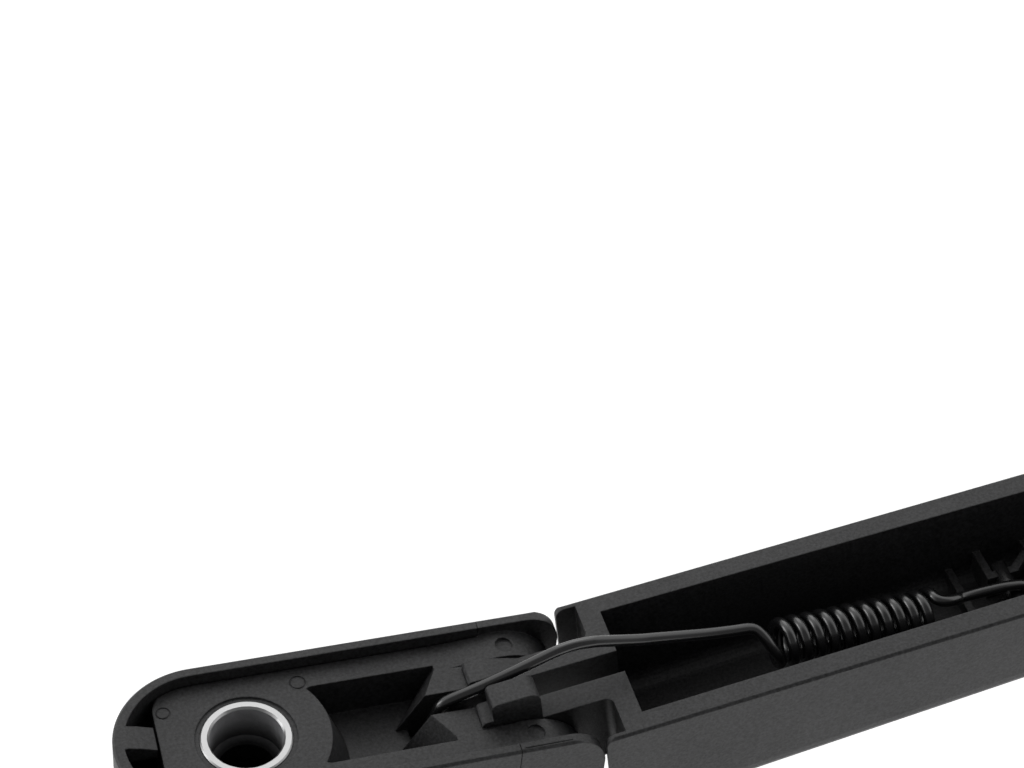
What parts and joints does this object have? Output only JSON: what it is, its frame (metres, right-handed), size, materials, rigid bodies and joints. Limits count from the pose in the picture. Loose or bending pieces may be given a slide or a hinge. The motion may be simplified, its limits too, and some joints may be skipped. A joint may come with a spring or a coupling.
{
  "type": "wiper arm",
  "caption": "Black moulded rear-window wiper arm with a hinged nut cover, a sprung joint and a ribbed open channel, lying glass side up.",
  "frame": {"origin": "centre of the spindle bore's mouth, on the face of the head that faces the glass", "axes": "+X along the arm from the head to the blade end, +Z towards the glass, so that the flat back of the arm lies level"},
  "size_m": [0.3151, 0.026, 0.0369],
  "materials": {
    "head_plastic": "fine moulded grain",
    "cover_plastic": "fine moulded grain",
    "arm_plastic": "fine moulded grain",
    "bushing_metal": "turned",
    "pin_steel": "drawn",
    "spring_steel": "satin black coating on spring wire"
  },
  "bodies": {
    "head": {"head_block": "head_plastic", "spindle_bushing": "bushing_metal", "hinge_pin": "pin_steel", "spring_anchor_pin": "pin_steel"},
    "cover": {"head_cover": "cover_plastic"},
    "arm": {"arm_channel": "arm_plastic", "spring_peg": "spring_steel", "blade_pin": "pin_steel"},
    "spring": {"tension_spring": "spring_steel"}
  },
  "joints": [
    {"name": "arm_fold", "type": "hinge", "parent": "head", "child": "arm", "pos_m": [0.03586, 0, -0.01741], "axis": [0, 1, 0], "range_deg": [0, 56], "stiffness_Nm_per_rad": 0.06, "springref_deg": -143.24, "deforming": ["tension_spring"]},
    {"name": "cover_flip", "type": "hinge", "parent": "head", "child": "cover", "pos_m": [0.01934, 0, -0.01382], "axis": [0, -1, 0], "range_deg": [0, 50]},
    {"name": "spring_swing", "type": "hinge", "parent": "arm", "child": "spring", "pos_m": [0.1157, 0, -0.02534], "axis": [0, 1, 0], "range_deg": [-6.4, 0]}
  ],
  "couplings": [
    {"joint": "spring_swing", "follows": "arm_fold", "ratio": -0.1132}
  ]
}
